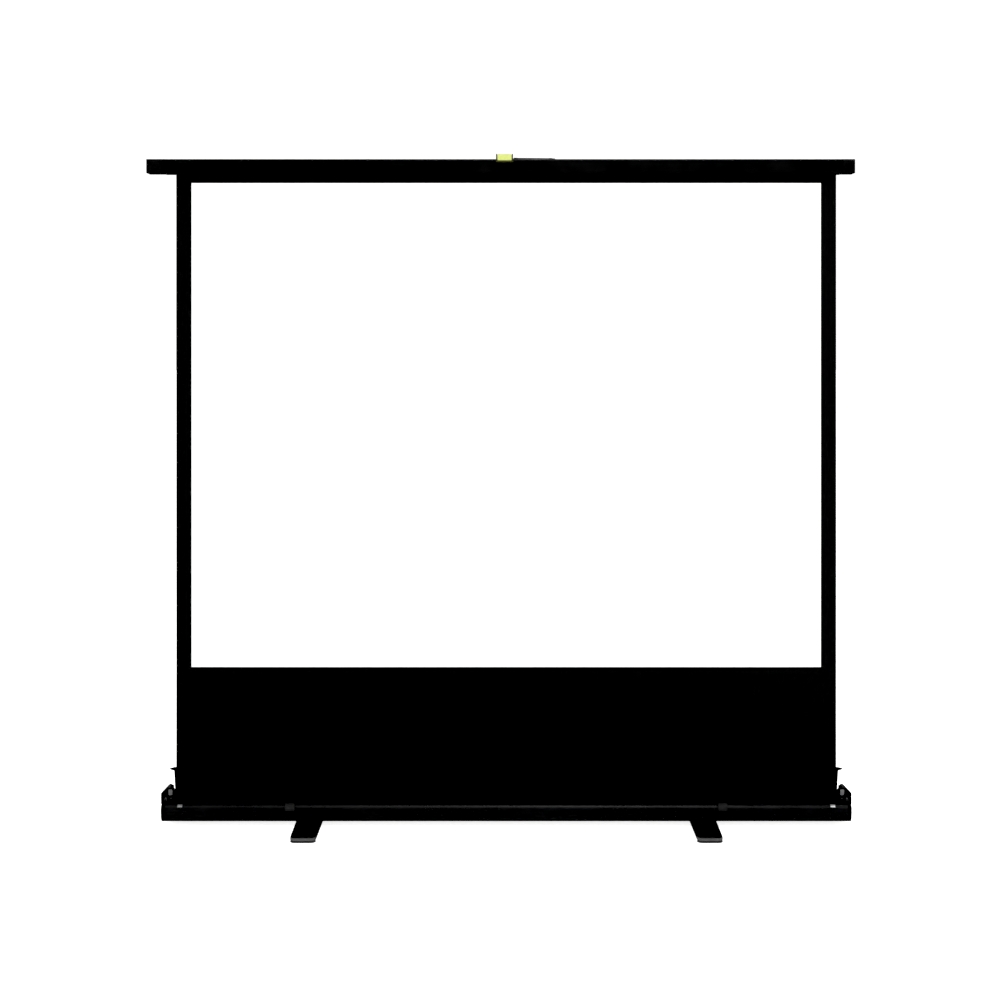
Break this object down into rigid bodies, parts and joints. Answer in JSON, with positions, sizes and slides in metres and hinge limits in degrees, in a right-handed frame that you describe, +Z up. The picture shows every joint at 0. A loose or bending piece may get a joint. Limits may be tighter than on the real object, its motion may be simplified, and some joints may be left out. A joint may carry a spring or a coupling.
{
  "type": "portable projector screen",
  "caption": "Pull-up projector screen: a white cloth rises from a slim floor case under a top bar on folding rear arms, with swivel feet, lid latches, a level and a carry handle.",
  "frame": {"origin": "on the floor, under the middle of the top bar and the plane of the screen cloth", "axes": "+X to the right along the case, seen from the front; the viewing surface faces -Y; +Z up"},
  "size_m": [1.793, 0.34, 1.6954],
  "materials": {
    "case_black": "satin black anodised",
    "arm_black": "satin black",
    "cap_plastic": "fine matt",
    "rubber": "matt",
    "steel": "zinc plated",
    "tube_metal": "plain",
    "cloth_black": "matt",
    "cloth_white": "matt",
    "vial": "clear yellow green"
  },
  "bodies": {
    "case": {"case_shell": "case_black", "left_end_cap": "cap_plastic", "right_end_cap": "cap_plastic", "left_lip_clip": "steel", "right_lip_clip": "steel", "left_bumper": "rubber", "right_bumper": "rubber", "left_roller_bracket": "steel", "right_roller_bracket": "steel", "left_arm_bracket": "steel", "right_arm_bracket": "steel", "left_base_pin": "steel", "right_base_pin": "steel", "left_lift_spring": "steel", "right_lift_spring": "steel", "left_foot_bolt": "steel", "right_foot_bolt": "steel", "left_latch_pin": "steel", "right_latch_pin": "steel", "roller_shaft": "steel", "winding_spring": "steel", "screen_cloth": "cloth_black", "viewing_surface": "cloth_white"},
    "roller": {"roller_tube": "tube_metal", "left_roller_plug": "cap_plastic", "right_roller_plug": "cap_plastic", "roller_wrap": "cloth_black"},
    "left_lower": {"left_lower_arm": "arm_black", "left_elbow_pin": "steel", "left_lever_pin": "steel"},
    "right_lower": {"right_lower_arm": "arm_black", "right_elbow_pin": "steel", "right_lever_pin": "steel"},
    "left_upper": {"left_upper_arm": "arm_black"},
    "right_upper": {"right_upper_arm": "arm_black"},
    "bar": {"top_bar": "case_black", "left_bar_cap": "cap_plastic", "right_bar_cap": "cap_plastic", "hem_rod": "steel", "left_bar_bracket": "steel", "right_bar_bracket": "steel", "left_top_pin": "steel", "right_top_pin": "steel", "level_holder": "cap_plastic", "level_vial": "vial", "left_handle_mount": "cap_plastic", "right_handle_mount": "cap_plastic"},
    "handle": {"carry_handle": "cap_plastic"},
    "left_lever": {"left_release_lever": "cap_plastic"},
    "right_lever": {"right_release_lever": "cap_plastic"},
    "left_hook": {"left_latch": "cap_plastic", "left_latch_plate": "steel"},
    "right_hook": {"right_latch": "cap_plastic", "right_latch_plate": "steel"},
    "left_stand": {"left_foot": "cap_plastic", "left_front_tip": "rubber", "left_rear_tip": "rubber"},
    "right_stand": {"right_foot": "cap_plastic", "right_front_tip": "rubber", "right_rear_tip": "rubber"}
  },
  "joints": [
    {"name": "lift", "type": "hinge", "parent": "case", "child": "left_lower", "pos_m": [-0.813, 0.0285, 0.03616], "axis": [0, 1, 0], "range_deg": [0, 81.94], "deforming": ["screen_cloth", "viewing_surface"]},
    {"name": "left_elbow", "type": "hinge", "parent": "left_lower", "child": "left_upper", "pos_m": [-0.71368, 0.0205, 0.84509], "axis": [0, 1, 0], "range_deg": [-163.88, 0]},
    {"name": "left_bar_pivot", "type": "hinge", "parent": "left_upper", "child": "bar", "pos_m": [-0.813, 0.013, 1.65401], "axis": [0, 1, 0], "range_deg": [0, 81.94]},
    {"name": "right_lift", "type": "hinge", "parent": "case", "child": "right_lower", "pos_m": [0.841, 0.0285, 0.03616], "axis": [0, 1, 0], "range_deg": [-81.94, 0]},
    {"name": "right_elbow", "type": "hinge", "parent": "right_lower", "child": "right_upper", "pos_m": [0.74168, 0.0205, 0.84509], "axis": [0, 1, 0], "range_deg": [0, 163.88]},
    {"name": "roller_turn", "type": "hinge", "parent": "case", "child": "roller", "pos_m": [0.014, -0.01755, 0.03703], "axis": [1, 0, 0], "range_deg": [-5165, 0]},
    {"name": "left_lever_press", "type": "hinge", "parent": "left_lower", "child": "left_lever", "pos_m": [-0.82995, 0.0306, 0.05406], "axis": [0, 1, 0], "range_deg": [0, 8], "stiffness_Nm_per_rad": 0.02, "springref_deg": -28.65},
    {"name": "right_lever_press", "type": "hinge", "parent": "right_lower", "child": "right_lever", "pos_m": [0.85794, 0.0306, 0.05406], "axis": [0, -1, 0], "range_deg": [0, 8], "stiffness_Nm_per_rad": 0.02, "springref_deg": -28.65},
    {"name": "left_latch_swing", "type": "hinge", "parent": "case", "child": "left_hook", "pos_m": [-0.8295, -0.0303, 0.06656], "axis": [-1, 0, 0], "range_deg": [0, 12]},
    {"name": "right_latch_swing", "type": "hinge", "parent": "case", "child": "right_hook", "pos_m": [0.8575, -0.0303, 0.06656], "axis": [-1, 0, 0], "range_deg": [0, 12]},
    {"name": "left_foot_swivel", "type": "hinge", "parent": "case", "child": "left_stand", "pos_m": [-0.483, 0.008, 0.0087], "axis": [0, 0, -1], "range_deg": [0, 90]},
    {"name": "right_foot_swivel", "type": "hinge", "parent": "case", "child": "right_stand", "pos_m": [0.511, 0.008, 0.0087], "axis": [0, 0, 1], "range_deg": [0, 90]},
    {"name": "handle_raise", "type": "hinge", "parent": "bar", "child": "handle", "pos_m": [0.082, 0.0101, 1.68501], "axis": [-1, 0, 0], "range_deg": [0, 90]}
  ],
  "couplings": [
    {"joint": "left_elbow", "follows": "lift", "ratio": -2},
    {"joint": "left_bar_pivot", "follows": "lift", "ratio": 1},
    {"joint": "right_lift", "follows": "lift", "ratio": -1},
    {"joint": "right_elbow", "follows": "lift", "ratio": 2},
    {"joint": "roller_turn", "follows": "lift", "ratio": -63}
  ]
}
